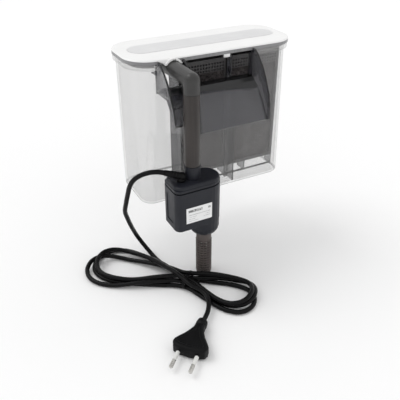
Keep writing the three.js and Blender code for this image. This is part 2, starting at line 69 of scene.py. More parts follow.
makeCamera(cameraLook)
print("camera placed")


def newMaterial(name, **values):
    # a Principled surface with the given constants on its own sockets
    material = bpy.data.materials.new(name)
    material.use_nodes = True
    tree = material.node_tree
    surface = tree.nodes["Principled BSDF"]
    for socket, value in values.items():
        surface.inputs[socket.replace("_", " ")].default_value = value
    return material, tree, surface


def addNode(tree, kind, links=None, **values):
    # makes a node, sets its properties, and joins its inputs
    node = tree.nodes.new(kind)
    for key, value in values.items():
        setattr(node, key, value)
    for socket, source in (links or {}).items():
        target = node.inputs[socket]
        if isinstance(source, bpy.types.NodeSocket):
            tree.links.new(source, target)
        else:
            target.default_value = source
    return node


def objectPoint(tree, scale=(1, 1, 1), turn=(0, 0, 0), place=(0, 0, 0)):
    # Object coordinates, stretched, turned or shifted to suit one pattern
    source = addNode(tree, "ShaderNodeTexCoord").outputs["Object"]
    links = {"Vector": source, "Location": place, "Rotation": turn, "Scale": scale}
    return addNode(tree, "ShaderNodeMapping", links).outputs["Vector"]


def noiseAt(tree, point, scale, detail=3.0, roughness=0.55):
    links = {"Vector": point, "Scale": scale, "Detail": detail, "Roughness": roughness}
    return addNode(tree, "ShaderNodeTexNoise", links).outputs["Fac"]


def rampOf(tree, value, stops):
    # stops are (position, grey or colour)
    node = addNode(tree, "ShaderNodeValToRGB", {"Fac": value})
    ramp = node.color_ramp
    while len(ramp.elements) < len(stops):
        ramp.elements.new(0.5)
    for element, (position, colour) in zip(ramp.elements, stops):
        element.position = position
        shade = (colour, colour, colour) if isinstance(colour, float) else colour
        element.color = (*shade, 1)
    return node.outputs["Color"]


def rangeOf(tree, value, low, high, fromLow=0.0, fromHigh=1.0):
    links = {"Value": value, "From Min": fromLow, "From Max": fromHigh,
             "To Min": low, "To Max": high}
    return addNode(tree, "ShaderNodeMapRange", links).outputs["Result"]


def bumpOf(tree, height, strength, distance, under=None):
    links = {"Height": height, "Strength": strength, "Distance": distance}
    if under is not None:
        links["Normal"] = under
    return addNode(tree, "ShaderNodeBump", links).outputs["Normal"]


def calc(tree, operation, a, b=0.0):
    node = addNode(tree, "ShaderNodeMath", operation=operation)
    for socket, source in zip(node.inputs, (a, b)):
        if isinstance(source, bpy.types.NodeSocket):
            tree.links.new(source, socket)
        else:
            socket.default_value = source
    return node.outputs[0]


def mouldedPlastic(name, dark, light, rough, grain=900.0, streak=0.0, bump=0.05, **values):
    # moulded plastic: a faint cloud of two shades, dulled patches, fine texture and a few rubs
    material, tree, surface = newMaterial(name, **values)
    point = objectPoint(tree)
    cloud = noiseAt(tree, point, 38.0, 4.0)
    if streak:
        # flow lines that run up the piece
        flow = noiseAt(tree, objectPoint(tree, (1, 1, streak)), 190.0, 3.0)
        cloud = calc(tree, "ADD", calc(tree, "MULTIPLY", flow, 0.6), calc(tree, "MULTIPLY", cloud, 0.4))
    colour = rampOf(tree, cloud, [(0.3, dark), (0.7, light)])
    tree.links.new(colour, surface.inputs["Base Color"])
    rubs = noiseAt(tree, objectPoint(tree, (1, 1, 0.25)), 260.0, 5.0, 0.7)
    tree.links.new(rangeOf(tree, rubs, rough[0], rough[1], 0.35, 0.7), surface.inputs["Roughness"])
    fine = bumpOf(tree, noiseAt(tree, point, grain, 2.0), bump, 0.0002)
    tree.links.new(bumpOf(tree, rubs, bump * 0.6, 0.0003, fine), surface.inputs["Normal"])
    return material


def seeThroughPlastic(name, tint, veil, edge, rough, marks, shine=(0.035, 0.6)):
    # a see-through wall: a thin veil of its own tint face on, denser at a glancing angle, under a gloss
    material, tree, surface = newMaterial(name)
    surface.inputs["Roughness"].default_value = rough
    point = objectPoint(tree)
    haze = noiseAt(tree, objectPoint(tree, (1, 1, 0.12)), 60.0, 3.0)
    tree.links.new(rampOf(tree, haze, [(0.3, tint[0]), (0.7, tint[1])]), surface.inputs["Base Color"])
    facing = addNode(tree, "ShaderNodeLayerWeight", {"Blend": 0.5}).outputs["Facing"]
    density = rangeOf(tree, calc(tree, "POWER", facing, 5.0), veil, edge)
    density = calc(tree, "ADD", density, rangeOf(tree, haze, 0.0, marks, 0.35, 0.75))
    clear = addNode(tree, "ShaderNodeBsdfTransparent").outputs["BSDF"]
    body = addNode(tree, "ShaderNodeMixShader", {0: density, 1: clear, 2: surface.outputs["BSDF"]})
    gloss = addNode(tree, "ShaderNodeBsdfGlossy", {"Roughness": rough})
    # the shine grows towards the rim, and is the same on the inner and outer skins
    mirror = rangeOf(tree, calc(tree, "POWER", facing, 5.0), *shine)
    scuffs = bumpOf(tree, noiseAt(tree, point, 420.0, 4.0, 0.7), 0.012, 0.0002)
    for node in (gloss, surface):
        tree.links.new(scuffs, node.inputs["Normal"])
    both = addNode(tree, "ShaderNodeMixShader", {0: mirror, 1: body.outputs[0], 2: gloss.outputs[0]})
    tree.links.new(both.outputs[0], tree.nodes["Material Output"].inputs["Surface"])
    return material


def openSponge(name, dark, light, cell):
    # reticulated foam: round pores with paler strands between them; the strands are the foam's own grey and
    # the dark pore fill is painted shade
    material, tree, surface = newMaterial(name, Roughness=0.95, Specular_IOR_Level=0.15)
    point = objectPoint(tree)
    pores = addNode(tree, "ShaderNodeTexVoronoi", {"Vector": point, "Scale": cell},
                    feature="DISTANCE_TO_EDGE")
    strandsAndPoreShade = rampOf(tree, pores.outputs["Distance"], [(0.0, light), (0.22, dark)])
    stain = rampOf(tree, noiseAt(tree, point, 130.0, 6.0, 0.7), [(0.36, 0.22), (0.62, 1.0)])
    mixed = addNode(tree, "ShaderNodeMix", {0: 0.85, 6: strandsAndPoreShade, 7: stain},
                    data_type="RGBA", blend_type="MULTIPLY")
    tree.links.new(mixed.outputs[2], surface.inputs["Base Color"])
    tree.links.new(bumpOf(tree, pores.outputs["Distance"], 0.7, 0.0008), surface.inputs["Normal"])
    return material


def carbonSleeve(name):
    # fleece over carbon grains, which show through as darker lumps
    material, tree, surface = newMaterial(name, Roughness=0.9, Specular_IOR_Level=0.2)
    point = objectPoint(tree)
    grains = addNode(tree, "ShaderNodeTexVoronoi", {"Vector": point, "Scale": 520.0})
    fleece = noiseAt(tree, point, 2600.0, 2.0)
    shade = calc(tree, "MULTIPLY", grains.outputs["Distance"], calc(tree, "ADD", fleece, 0.4))
    colour = rampOf(tree, shade, [(0.1, (0.012, 0.012, 0.013)), (0.75, (0.075, 0.072, 0.07))])
    tree.links.new(colour, surface.inputs["Base Color"])
    tree.links.new(bumpOf(tree, shade, 0.6, 0.0006), surface.inputs["Normal"])
    return material


def workedMetal(name, colour, rough, brushed=(1, 1, 30)):
    # metal with fine lines along one way and dull finger marks
    material, tree, surface = newMaterial(name, Metallic=1.0)
    lines = noiseAt(tree, objectPoint(tree, brushed), 700.0, 3.0)
    smears = noiseAt(tree, objectPoint(tree), 170.0, 4.0)
    tint = rampOf(tree, smears, [(0.3, tuple(0.72 * c for c in colour)), (0.65, colour)])
    tree.links.new(tint, surface.inputs["Base Color"])
    both = calc(tree, "MULTIPLY", lines, smears)
    tree.links.new(rangeOf(tree, both, rough[0], rough[1], 0.1, 0.5), surface.inputs["Roughness"])
    tree.links.new(bumpOf(tree, lines, 0.12, 0.0001), surface.inputs["Normal"])
    return material


labelSpec = {
    "paper": 0.86,
    "ink": 0.06,
    # plain grey rules as shares of the label: bottom, top, left, right and strength
    "rules": [
        (0.70, 0.86, 0.08, 0.62, 0.9), (0.70, 0.84, 0.84, 0.95, 0.6), (0.50, 0.55, 0.08, 0.92, 0.45),
        (0.37, 0.41, 0.08, 0.40, 0.4), (0.37, 0.41, 0.74, 0.92, 0.4), (0.24, 0.28, 0.08, 0.34, 0.4),
        (0.24, 0.28, 0.66, 0.92, 0.45), (0.11, 0.15, 0.08, 0.46, 0.35),
    ],
}


def printedLabel(name, spec, plate):
    # a white foil label with plain grey rules, which stand for the print
    material, tree, surface = newMaterial(name, Roughness=0.35)
    low, high = plate
    width, height = high.x - low.x, high.z - low.z
    place = (-low.x / width, 0, -low.z / height)
    point = objectPoint(tree, (1 / width, 1, 1 / height), (0, 0, 0), place)
    axes = addNode(tree, "ShaderNodeSeparateXYZ", {"Vector": point})
    across, up = axes.outputs["X"], axes.outputs["Z"]

    def between(value, start, end):
        past = calc(tree, "GREATER_THAN", value, start)
        short = calc(tree, "LESS_THAN", value, end)
        return calc(tree, "MULTIPLY", past, short)

    ink = None
    for bottom, top, left, right, strength in spec["rules"]:
        bar = calc(tree, "MULTIPLY", between(up, bottom, top), between(across, left, right))
        bar = calc(tree, "MULTIPLY", bar, strength)
        ink = bar if ink is None else calc(tree, "MAXIMUM", ink, bar)
    # noise thins the rules here and there, as worn print
    thinned = noiseAt(tree, objectPoint(tree, (1, 1, 0.2)), 1500.0, 1.0)
    ink = calc(tree, "MULTIPLY", ink, rangeOf(tree, thinned, 0.35, 1.0, 0.42, 0.5))
    shade = rampOf(tree, ink, [(0.0, spec["paper"]), (1.0, spec["ink"])])
    tree.links.new(shade, surface.inputs["Base Color"])
    worn = noiseAt(tree, objectPoint(tree), 300.0, 4.0)
    tree.links.new(rangeOf(tree, worn, 0.28, 0.5, 0.35, 0.65), surface.inputs["Roughness"])
    return material


# see-through walls: tint, veil face on, density at the rim, roughness, marks and shine
clearPlastic = seeThroughPlastic(
    "clearStyrene", ((0.40, 0.395, 0.39), (0.50, 0.495, 0.49)), 0.1, 0.64, 0.06, 0.016)
# painted shade: a near-black veil for the clear box's cut edges and foot, standing in for the dark lines of
# refraction
clearEdgeShade = seeThroughPlastic(
    "clearEdgeShade", ((0.02, 0.02, 0.024), (0.035, 0.035, 0.04)), 0.55, 0.8, 0.12, 0.05, (0.02, 0.12))
smokedPlastic = seeThroughPlastic(
    "smokedStyrene", ((0.034, 0.034, 0.044), (0.048, 0.047, 0.059)), 0.47, 0.85, 0.09, 0.05)
# painted shade: a near-black veil for the smoked walls' cut edges, ledge and cheek fronts
smokedEdgeShade = seeThroughPlastic(
    "smokedEdgeShade", ((0.004, 0.004, 0.005), (0.008, 0.008, 0.009)), 0.95, 0.99, 0.2, 0.03, (0.008, 0.05))
# moulded plastics: darker shade, lighter shade and the spread of roughness
lidWhite = mouldedPlastic("lidWhite", (0.87, 0.87, 0.865), (0.91, 0.91, 0.905), (0.14, 0.26), bump=0.02)
# painted shade: the lid's white plastic darkened to grey for the skirt's shaded sides
lidSkirtShade = mouldedPlastic("lidSkirtShade", (0.20, 0.20, 0.205), (0.26, 0.26, 0.265), (0.2, 0.35), bump=0.02)
inlayGrey = mouldedPlastic("inlayGrey", (0.68, 0.68, 0.685), (0.73, 0.73, 0.735), (0.3, 0.42), bump=0.03)
pipeBrown = mouldedPlastic(
    "pipeBrown", (0.024, 0.020, 0.0185), (0.046, 0.039, 0.036), (0.34, 0.5),
    streak=0.06, Specular_IOR_Level=0.35)
strainerBrown = mouldedPlastic(
    "strainerBrown", (0.062, 0.050, 0.047), (0.125, 0.105, 0.098), (0.4, 0.55),
    streak=0.3, Specular_IOR_Level=0.35)
elbowGrey = mouldedPlastic(
    "elbowGrey", (0.023, 0.0225, 0.022), (0.037, 0.036, 0.035), (0.3, 0.42), Specular_IOR_Level=0.5)
pumpGrey = mouldedPlastic(
    "pumpGrey", (0.0105, 0.0118, 0.0165), (0.0155, 0.0168, 0.0235), (0.34, 0.5), Specular_IOR_Level=0.3)
plugBlack = mouldedPlastic(
    "plugBlack", (0.0025, 0.0025, 0.003), (0.0045, 0.0045, 0.005), (0.4, 0.55), Specular_IOR_Level=0.12)
cordBlack = mouldedPlastic(
    "cordBlack", (0.002, 0.002, 0.0022), (0.004, 0.004, 0.0045), (0.25, 0.4), Specular_IOR_Level=0.14)
rotorWhite = mouldedPlastic("rotorWhite", (0.68, 0.68, 0.66), (0.78, 0.78, 0.76), (0.3, 0.45))
ceramicWhite = mouldedPlastic(
    "ceramicWhite", (0.72, 0.70, 0.65), (0.80, 0.78, 0.73), (0.2, 0.32), grain=2200.0)
magnetGrey = mouldedPlastic(
    "magnetGrey", (0.022, 0.022, 0.025), (0.045, 0.045, 0.05), (0.4, 0.6), grain=1800.0, bump=0.12)
basketGrey = mouldedPlastic(
    "basketGrey", (0.050, 0.048, 0.049), (0.085, 0.081, 0.082), (0.35, 0.55),
    streak=0.5, Specular_IOR_Level=0.4)
spongeGrey = openSponge("spongeGrey", (0.022, 0.019, 0.019), (0.12, 0.106, 0.108), 420.0)
fleeceBlack = carbonSleeve("fleeceBlack")
coreSteel = workedMetal("coreSteel", (0.42, 0.42, 0.44), (0.3, 0.55), (1, 1, 60))
coilCopper = workedMetal("coilCopper", (0.72, 0.36, 0.19), (0.28, 0.45), (1, 1, 40))
pinNickel = workedMetal("pinNickel", (0.62, 0.61, 0.58), (0.2, 0.4))
labelWhite = printedLabel("labelWhite", labelSpec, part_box("label_plate"))
print("finishes made:", len(bpy.data.materials))

finishes = {
    "intake_elbow": elbowGrey, "riser_pipe": pipeBrown, "lid_inlay": inlayGrey,
    "pump_housing": pumpGrey, "pump_cap": pumpGrey, "inlet_cover": pumpGrey, "cap_gasket": plugBlack,
    "stator_core": coreSteel, "stator_coil": coilCopper, "label_plate": labelWhite,
    "rotor_magnet": magnetGrey, "rotor_shaft": ceramicWhite, "impeller": rotorWhite,
    "plug_pin_left": pinNickel, "plug_pin_right": pinNickel,
    "pin_sleeve_left": rotorWhite, "pin_sleeve_right": rotorWhite,
}
for nodeName, finish in finishes.items():
    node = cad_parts[nodeName]
    node.data.materials.clear()
    node.data.materials.append(finish)


def addPiece(name, bm, finish, body, replaced=(), smooth=35):
    # turns a bmesh into a piece that rides on a body
    bmesh.ops.remove_doubles(bm, verts=bm.verts, dist=1e-6)
    bmesh.ops.recalc_face_normals(bm, faces=bm.faces)
    mesh = bpy.data.meshes.new(name)
    bm.to_mesh(mesh)
    bm.free()
    mesh.polygons.foreach_set("use_smooth", [True] * len(mesh.polygons))
    mesh.set_sharp_from_angle(angle=math.radians(smooth))
    mesh.materials.append(finish)
    piece = bpy.data.objects.new(name, mesh)
    bpy.context.scene.collection.objects.link(piece)
    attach(piece, body)
    if replaced:
        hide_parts(*replaced)
    return piece


def spinProfile(bm, profile, steps, closed=False):
    # a turned shape round Z from (radius, height) points
    verts = [bm.verts.new((radius, 0, height)) for radius, height in profile]
    pairs = list(zip(verts, verts[1:])) + ([(verts[-1], verts[0])] if closed else [])
    edges = [bm.edges.new(pair) for pair in pairs]
    bmesh.ops.spin(bm, geom=verts + edges, cent=(0, 0, 0), axis=(0, 0, 1), angle=2 * math.pi,
                   steps=steps, use_merge=True, use_duplicate=False)
    bmesh.ops.remove_doubles(bm, verts=bm.verts, dist=1e-6)


def roundedBox(bm, low, high, corner, segments):
    # an upright box with rounded vertical edges
    verts = bmesh.ops.create_cube(bm, size=1.0)["verts"]
    bmesh.ops.scale(bm, verts=verts, vec=Vector(high) - Vector(low))
    bmesh.ops.translate(bm, verts=verts, vec=(Vector(high) + Vector(low)) / 2)
    mine = {edge for vert in verts for edge in vert.link_edges}
    upright = [edge for edge in mine if abs(edge.verts[0].co.z - edge.verts[1].co.z) > 1e-6]
    bmesh.ops.bevel(bm, geom=upright, offset=corner, segments=segments, profile=0.5,
                    affect="EDGES", material=-1)


def bisectAt(bm, spot, normal):
    everything = bm.verts[:] + bm.edges[:] + bm.faces[:]
    bmesh.ops.bisect_plane(bm, geom=everything, plane_co=spot, plane_no=normal, dist=1e-7)


def dressedCopy(nodeName, name, finish, paintedShadeFinish, thin, body, smooth=30):
    # the CAD solid's own shape, merged for clean shading, with its narrow edge faces in a second finish of
    # painted shade
    bm = bmesh.new()
    bm.from_mesh(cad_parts[nodeName].data)
    bmesh.ops.remove_doubles(bm, verts=bm.verts, dist=2e-6)
    flat = [edge for edge in bm.edges if len(edge.link_faces) == 2 and edge.calc_face_angle(4.0) < 0.002]
    bmesh.ops.dissolve_edges(bm, edges=flat, use_verts=False)
    for face in bm.faces:
        meanWidth = face.calc_area() / max(edge.calc_length() for edge in face.edges)
        face.material_index = 1 if meanWidth < thin else 0
    bmesh.ops.triangulate(bm, faces=bm.faces[:])
    piece = addPiece(name, bm, finish, body, [nodeName], smooth)
    piece.data.materials.append(paintedShadeFinish)
    flatter = piece.modifiers.new("flatFaces", "WEIGHTED_NORMAL")
    flatter.keep_sharp = True
    return piece


def alongAxis(start, end):
    # the placing that lays Z of a turned shape from start towards end
    axis = Vector(end) - Vector(start)
    return Matrix.Translation(start) @ axis.to_track_quat("Z", "Y").to_matrix().to_4x4()


cordSpec = {
    "diameter": 5.0,
    "exit": (-30.4, -29.7, -64.4),
    "length": 1.6,  # metres; the rest is in millimetres
    "tie": (-14.0, -45.0),
    "tieHeading": -52.0,
    "tieLift": 1.4,
    "tieReach": 13,  # how far the tie lifts the cord round it
    "offTable": 0.3,
    "slope": 0.17,
    "gather": 0.22,
    "laneEase": 1.3,
    "knotStep": 9.0,
    "clearance": 0.55,
    "easing": 9.0,
    "passes": 6,  # rounds of lifting one stretch over another
    "ownLength": 8,  # points this close along the cord don't cross each other
    "fillSteps": 5,
    "lead": [
        (-30.6, -29.7, -64.3), (-38.5, -27.9, -62.4), (-46.3, -24.9, -63.2), (-53.0, -21.2, -66.6),
        (-57.8, -17.2, -72.1), (-60.2, -13.2, -79.5), (-61.2, -7.5, -92.0), (-61.6, 0.0, -108.0),
        (-60.6, 8.0, -122.0), (-56.3, 15.0, -136.0), (-49.3, 25.0, -155.0), (-43.6, 32.0, -169.1),
        (-40.1, 34.2, -177.3), (-36.2, 32.9, -185.4), (-32.5, 28.4, -192.4), (-29.5, 21.2, -197.3),
        (-27.7, 12.2, -199.2), (-25.0, -4.0, -199.2), (-19.5, -20.0, -199.2), (-12.0, -33.0, -199.2),
    ],
    "onFloor": 16,  # the lead's points from here on lie on the table
    "tail": [
        (-17.5, -60.0, -199.2), (-11.6, -68.5, -199.2), (-9.0, -79.0, -199.2), (-12.0, -90.0, -198.5),
        (-18.6, -99.0, -196.1), (-28.2, -107.4, -195.0),
    ],
    # each bow of the hank: heading, reach, fullness, and its place across the tie going out and coming back
    "bows": [
        (-54.5, 77.0, 20.5, 7.5, -7.5), (130.6, 113.0, 29.0, -7.5, 2.5),
        (-46.5, 75.0, 21.5, 2.5, -2.5), (139.0, 116.0, 25.0, -2.5, 5.0),
        (-50.0, 72.0, 21.0, 5.0, 0.0), (132.5, 108.0, 26.0, 0.0, -8.5),
    ],
    "stepsPerBow": 48,
}


def bowPoints(spec, heading, reach, fullness, goingOut, comingBack):
    # one bow leaves the tie along its heading, opens out, rounds its far end and comes back
    ahead = Vector((math.cos(math.radians(heading)), math.sin(math.radians(heading))))
    aside = Vector((-ahead.y, ahead.x))
    turn = math.radians(spec["tieHeading"])
    acrossTie = Vector((-math.sin(turn), math.cos(turn)))
    steps = spec["stepsPerBow"]
    points = []
    for i in range(1, steps):
        share = i / steps
        out = math.sin(math.pi * share)
        lane = (goingOut + (comingBack - goingOut) * share) * (1 - out) ** spec["laneEase"]
        swing = aside * fullness * math.sin(2 * math.pi * share) * out ** spec["gather"]
        along = ahead * reach * out + swing
        points.append(Vector(spec["tie"]) + along + acrossTie * lane)
    return points


def restOnItself(spec, plan, firstOnFloor, heights):
    # lifts each stretch over what lies under it, then eases every lift into a long low hump
    diameter = spec["diameter"]
    base = floorZ / mm + diameter / 2 + spec["offTable"]
    tie = Vector(spec["tie"])
    for i in range(firstOnFloor, len(plan)):
        bump = math.exp(-((plan[i] - tie).length / spec["tieReach"]) ** 2)
        heights[i] = max(heights[i], base + spec["tieLift"] * bump)
    for _ in range(spec["passes"]):
        for i in range(firstOnFloor, len(plan)):
            for j in range(firstOnFloor, i - spec["ownLength"]):
                gapX = abs(plan[i].x - plan[j].x)
                if gapX > diameter:
                    continue
                apart = (plan[i] - plan[j]).length
                if apart < diameter:
                    over = heights[j] + math.sqrt(diameter ** 2 - apart ** 2) + spec["clearance"]
                    heights[i] = max(heights[i], over)
        ways = (range(firstOnFloor + 1, len(plan)), range(len(plan) - 2, firstOnFloor, -1))
        for way, side in zip(ways, (-1, 1)):
            for i in way:
                step = (plan[i] - plan[i + side]).length
                heights[i] = max(heights[i], heights[i + side] - spec["slope"] * step)
    return easeHeights(spec, plan, firstOnFloor, heights)


def easeHeights(spec, plan, firstOnFloor, heights):
    # a running mean along the cord rounds the foot and the top of every hump
    walked = [0.0]
    for a, b in zip(plan, plan[1:]):
        walked.append(walked[-1] + (b - a).length)
    eased = list(heights)
    for i in range(firstOnFloor, len(plan) - 1):
        reach = spec["easing"]
        near = [j for j in range(firstOnFloor, len(plan)) if abs(walked[j] - walked[i]) < 2 * reach]
        weights = [math.exp(-((walked[j] - walked[i]) / reach) ** 2) for j in near]
        eased[i] = sum(w * heights[j] for w, j in zip(weights, near)) / sum(weights)
    return eased


def cordLine(spec):
    lead = [Vector(point) for point in spec["lead"]]
    tail = [Vector(point) for point in spec["tail"]]
    hank = []
    for bow in spec["bows"]:
        hank += bowPoints(spec, *bow)
    turn = math.radians(spec["tieHeading"])
    acrossTie = Vector((-math.sin(turn), math.cos(turn)))
    onFloor, steps = spec["onFloor"], spec["fillSteps"]
    # fill the straight stretches of the lead and tail, so that the humps are worked out on even steps
    plan = [Vector(point[:2]) for point in lead[:onFloor]]
    heights = [point.z for point in lead[:onFloor]]
    ends = [Vector(point[:2]) for point in lead[onFloor:]] + [hank[0]]
    for a, b in zip(ends, ends[1:]):
        for i in range(steps):
            plan.append(a.lerp(b, i / steps))
            heights.append(floorZ / mm + spec["diameter"] / 2)
    plan += hank
    heights += [floorZ / mm + spec["diameter"] / 2] * len(hank)
    start = Vector(spec["tie"]) + acrossTie * spec["bows"][-1][4]
    ends = [start] + [Vector(point[:2]) for point in tail]
    rises = [floorZ / mm + spec["diameter"] / 2] + [point.z for point in tail]
    for (a, b), (low, high) in zip(zip(ends, ends[1:]), zip(rises, rises[1:])):
        for i in range(steps):
            plan.append(a.lerp(b, i / steps))
            heights.append(low + (high - low) * i / steps)
    plan.append(ends[-1])
    heights.append(rises[-1])
    heights = restOnItself(spec, plan, onFloor, heights)
    points = [Vector((spot.x, spot.y, height)) * mm for spot, height in zip(plan, heights)]
    return points[:onFloor] + thinOut(points[onFloor:], spec["knotStep"] * mm)


def thinOut(points, step):
    # evenly spaced knots, so that the curve has no short kinks between close ones
    kept, walked, last = [points[0]], 0.0, points[0]
    for point in points[1:]:
        walked += (point - last).length
        last = point
        if walked >= step:
            kept.append(point)
            walked = 0.0
    if (kept[-1] - points[-1]).length < step / 2:
        kept.pop()
    return kept + [points[-1]]


def makeCord(spec):
    points = cordLine(spec)
    curve = bpy.data.curves.new("mains_cord", "CURVE")
    curve.dimensions = "3D"
    curve.resolution_u = 5
    curve.bevel_depth = spec["diameter"] / 2 * mm
    curve.bevel_resolution = 5
    curve.use_fill_caps = True
    spline = curve.splines.new("BEZIER")
    spline.bezier_points.add(len(points) - 1)
    for knot, point in zip(spline.bezier_points, points):
        knot.co = point
        knot.handle_left_type = knot.handle_right_type = "AUTO"
    curve.materials.append(cordBlack)
    cord = bpy.data.objects.new("mains_cord", curve)
    bpy.context.scene.collection.objects.link(cord)
    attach(cord, "pump")
    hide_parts("cord_lead", "cord_hank", "cord_tail")
    run = sum((a - b).length for a, b in zip(points, points[1:]))
    print("cord laid:", len(points), "points,", round(run, 3), "m")
    return cord


mainsCord = makeCord(cordSpec)


tieSpec = {
    "width": 3.4, "thickness": 0.9, "reachAcross": 11.2, "height": 12.4,
    "squareness": 0.72,  # 1 is a true oval
    "head": 4.0, "headShape": (1.1, 0.7, 1.1), "headAside": 2.5, "headLift": 1.2,
    "edgeRound": 0.25,
}


def makeTie(spec):
    # a band from a rounded loop, with its locking head on top
    bm = bmesh.new()
    bmesh.ops.create_circle(bm, segments=40, radius=1.0)
    for vert in bm.verts:
        # a squared-off oval that follows the bundle
        x, y = vert.co.x, vert.co.y
        power = spec["squareness"]
        vert.co.x = math.copysign(abs(x) ** power, x) * spec["reachAcross"] * mm
        vert.co.y = math.copysign(abs(y) ** power, y) * spec["height"] / 2 * mm
    ring = bmesh.ops.extrude_edge_only(bm, edges=bm.edges[:])
    moved = [item for item in ring["geom"] if isinstance(item, bmesh.types.BMVert)]
    bmesh.ops.translate(bm, verts=moved, vec=(0, 0, spec["width"] * mm))
    bmesh.ops.recalc_face_normals(bm, faces=bm.faces)
    bmesh.ops.solidify(bm, geom=bm.faces[:], thickness=-spec["thickness"] * mm)
    head = bmesh.ops.create_cube(bm, size=spec["head"] * mm)["verts"]
    bmesh.ops.scale(bm, verts=head, vec=spec["headShape"])
    halfHeight, lift = spec["height"] / 2 * mm, spec["headLift"] * mm
    headPlace = (spec["headAside"] * mm, halfHeight + lift, spec["width"] / 2 * mm)
    bmesh.ops.translate(bm, verts=head, vec=headPlace)
    bmesh.ops.bevel(bm, geom=bm.edges[:], offset=spec["edgeRound"] * mm, segments=2, profile=0.5,
                    affect="EDGES", material=-1)
    bmesh.ops.translate(bm, verts=bm.verts, vec=(0, 0, -spec["width"] / 2 * mm))
    turn = math.radians(cordSpec["tieHeading"])
    tieX, tieY = (value * mm for value in cordSpec["tie"])
    place = Matrix.Translation((tieX, tieY, floorZ + halfHeight + lift))
    upright = Matrix.Rotation(math.radians(90), 4, "X")
    lay = Matrix.Rotation(turn, 4, "Z") @ Matrix.Rotation(math.radians(90), 4, "Z") @ upright
    bmesh.ops.transform(bm, matrix=place @ lay, verts=bm.verts)
    addPiece("hank_tie", bm, plugBlack, "pump", ["cable_tie"])


makeTie(tieSpec)


bootSpec = {
    "root": (-11.4, -32.6, -72.2),
    "tip": (-30.4, -29.7, -64.4),
    # (radius, distance from the root): ribs that slim down towards the tip
    "profile": [
        (0.0, -0.5), (4.2, -0.5), (4.4, 2.2), (3.9, 3.0), (3.9, 5.0), (4.15, 5.3), (4.15, 6.9),
        (3.65, 7.2), (3.6, 8.6), (3.95, 8.9), (3.9, 10.4), (3.4, 10.7), (3.35, 12.1), (3.7, 12.4),
        (3.65, 13.8), (3.15, 14.1), (3.1, 18.6), (2.95, 20.2), (2.6, 20.7), (2.45, 20.7), (2.45, 12.0),
        (0.0, 12.0),
    ],
    "footPlace": (-13.4, -32.5, -76.4),
    # (radius, height) of the collar that stands on the cap
    "foot": [(0.0, 0.0), (4.6, 0.0), (4.6, 1.6), (3.9, 2.4), (3.4, 4.4), (0.0, 4.6)],
    "steps": 32,
}


def makeBoot(spec):
    bm = bmesh.new()
    spinProfile(bm, [(r * mm, z * mm) for r, z in spec["profile"]], spec["steps"])
    place = alongAxis([c * mm for c in spec["root"]], [c * mm for c in spec["tip"]])
    bmesh.ops.transform(bm, matrix=place, verts=bm.verts)
    foot = bmesh.new()
    footX, footY, low = (value * mm for value in spec["footPlace"])
    spinProfile(foot, [(r * mm, low + z * mm) for r, z in spec["foot"]], spec["steps"])
    bmesh.ops.translate(foot, verts=foot.verts, vec=(footX, footY, 0))
    extra = bpy.data.meshes.new("bootFoot")
    foot.to_mesh(extra)
    foot.free()
    bm.from_mesh(extra)
    bpy.data.meshes.remove(extra)
    addPiece("strain_relief", bm, cordBlack, "pump", ["cable_gland"])


makeBoot(bootSpec)


plugSpec = {
    "place": (-56.4, -133.7, -195.0),
    "heading": -137.0,
    # (along, half width) from the neck to the pin face
    "outline": [
        (-30.2, 5.0), (-25.5, 5.3), (-20.0, 7.4), (-14.0, 10.4), (-8.5, 14.2), (-4.0, 17.2), (-0.5, 17.5),
        (3.6, 15.6), (5.6, 10.0), (6.4, 0.0),
    ],
    "halfHeight": 6.4,
    "round": 2.6,
    "slimFrom": 8, "slimOver": 20, "slimBy": 0.2,  # the back's slope down to the neck
    "panelMargin": 2.2, "panelSink": 0.5,
    # (along, radius) rings of the neck
    "neck": [
        (-28.5, 0.0), (-28.5, 5.6), (-30.6, 5.9), (-31.2, 6.3), (-33.4, 6.3), (-33.9, 5.5),
        (-34.6, 5.5), (-35.1, 6.0), (-37.0, 5.7), (-37.5, 5.0), (-37.9, 3.0), (-37.9, 0.0),
    ],
    "neckFlatness": 0.92,
    "neckSteps": 32,
}


def plugPlace(spec):
    turn = Matrix.Rotation(math.radians(spec["heading"]), 4, "Z")
    return Matrix.Translation([c * mm for c in spec["place"]]) @ turn


